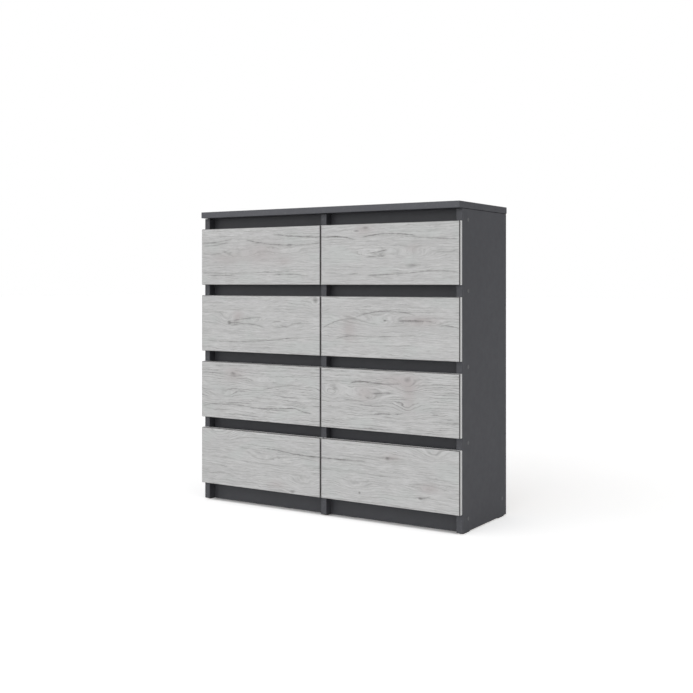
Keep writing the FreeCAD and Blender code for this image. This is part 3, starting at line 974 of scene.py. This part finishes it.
def cabinet_hardware():
    """Cabinet members of the slides, and the nails of the back sheets."""
    boxes = solid_boxes("cabinet_slides")
    walls = sorted({round(box[0].x, 4) for box in boxes})
    for number, box in enumerate(boxes, 1):
        web_high = walls.index(round(box[0].x, 4)) % 2 == 1
        slide_member("cabinet_slide_" + str(number), box, web_high, -LIP_CURL, "carcass", "cabinet_slides")
    sheets = zip(solid_boxes("back_panels"), solid_boxes("rear_rails"))
    for number, ((low, high), rail) in enumerate(sheets, 1):
        nails = []
        for z in spread(low.z + SHEET_NAIL_END, high.z - SHEET_NAIL_END, SHEET_NAILS):
            nails.append((low.x + SHEET_NAIL_EDGE, high.y, z))
            nails.append((high.x - SHEET_NAIL_EDGE, high.y, z))
        for x in spread(low.x + RAIL_NAIL_END, high.x - RAIL_NAIL_END, RAIL_NAILS):
            nails.append((x, high.y, (rail[0].z + rail[1].z) / 2))
        heads("back_nails_" + str(number), nails, (0, 1, 0), NAIL_HEAD, "carcass")


def give(node, material):
    """Put one material on a CAD node that shows as it is."""
    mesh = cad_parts[node].data
    mesh.materials.clear()
    mesh.materials.append(material)


carcass()
cabinet_hardware()
for drawer_column in COLUMNS:
    for drawer_row in ROWS:
        drawer(drawer_column, drawer_row)
give("confirmat_screws", ZINC)
give("screw_caps", CAP_PLASTIC)
give("foot_glides", BLACK_PLASTIC)


# ---- studio -------------------------------------------------------------------------
def lay_floor():
    """A wide pale floor, which glows for the camera where the chest doesn't cover it."""
    mesh = bpy.data.meshes.new("floor")
    corners = [(-FLOOR_REACH, -FLOOR_REACH, 0), (FLOOR_REACH, -FLOOR_REACH, 0),
               (FLOOR_REACH, FLOOR_REACH, 0), (-FLOOR_REACH, FLOOR_REACH, 0)]
    mesh.from_pydata(corners, [], [(0, 1, 2, 3)])
    floor = bpy.data.objects.new("floor", mesh)
    bpy.context.scene.collection.objects.link(floor)
    material, graph, place = new_material("studio_floor")
    cloud = graph.noise(place, 2.0, 2.0)
    color = graph.mix(graph.span(cloud, 0.3, 0.7), (0.92, 0.92, 0.92), (0.94, 0.94, 0.94))
    grit = graph.noise(place, 300.0, 2.0)
    finish_material(material, graph, color, graph.span(cloud, 0.3, 0.7, 0.7, 0.8),
                    graph.bump(grit, 0.0001, 0.2), specular=0.2)
    glow = material.node_tree.nodes["Principled BSDF"]
    glow.inputs["Emission Color"].default_value = WHITE_LIGHT
    seen = graph.node("LightPath").outputs["Is Camera Ray"]
    # no glow on the floor under the chest, which lies in the dark
    spot = graph.node("SeparateXYZ", {"Vector": place}).outputs
    clear = []
    for letter, axis in (("X", 0), ("Y", 1)):
        start, end = cad_box[0][axis], cad_box[1][axis]
        half = (end - start) / 2
        away = graph.math("ABSOLUTE", graph.minus(spot[letter], (start + end) / 2))
        clear.append(graph.span(away, half - GLOW_START, half - GLOW_FULL))
    strength = graph.times(graph.times(seen, FLOOR_GLOW), graph.math("MAXIMUM", *clear))
    graph.put(glow.inputs["Emission Strength"], strength)
    mesh.materials.append(material)


def light_room():
    """White surroundings that light softly from all round and more from the front, and a lamp."""
    world = bpy.data.worlds.new("studio_world")
    world.use_nodes = True
    world.node_tree.nodes.clear()
    sky = Graph(world.node_tree)
    direction = sky.node("SeparateXYZ", {"Vector": sky.node("TexCoord").outputs["Generated"]}).outputs
    frontal = sky.math("MAXIMUM", sky.times(direction["Y"], -1.0), 0.0)
    strength = sky.math("MULTIPLY_ADD", frontal, FRONT_LIGHT, ALL_ROUND_LIGHT)
    light = sky.node("Background", {"Color": WHITE_LIGHT, "Strength": strength}).outputs[0]
    white = sky.node("Background", {"Color": WHITE_LIGHT, "Strength": 1.0}).outputs[0]
    shown = sky.node("MixShader", {0: sky.node("LightPath").outputs["Is Camera Ray"], 1: light, 2: white})
    sky.tree.links.new(shown.outputs[0], sky.node("OutputWorld").inputs["Surface"])
    bpy.context.scene.world = world

    data = bpy.data.lights.new("front_softbox", "AREA")
    data.shape = "RECTANGLE"
    data.size, data.size_y = LAMP_SIZE
    data.energy = LAMP_POWER
    lamp = bpy.data.objects.new("front_softbox", data)
    lamp.location = LAMP_PLACE
    aim = Vector(LAMP_AIM) - Vector(LAMP_PLACE)
    lamp.rotation_euler = aim.to_track_quat("-Z", "Y").to_euler()
    bpy.context.scene.collection.objects.link(lamp)


def set_camera():
    """A level camera in front of the right-hand corner, with its view shifted down."""
    data = bpy.data.cameras.new("camera")
    data.sensor_width = CAMERA_SENSOR
    data.lens = CAMERA_LENS
    data.shift_y = CAMERA_SHIFT
    camera = bpy.data.objects.new("camera", data)
    camera.location = CAMERA_PLACE
    camera.rotation_euler = (math.radians(90.0), 0.0, CAMERA_TURN)
    bpy.context.scene.collection.objects.link(camera)
    bpy.context.scene.camera = camera
    bpy.context.scene.view_settings.view_transform = "Standard"


lay_floor()
light_room()
set_camera()
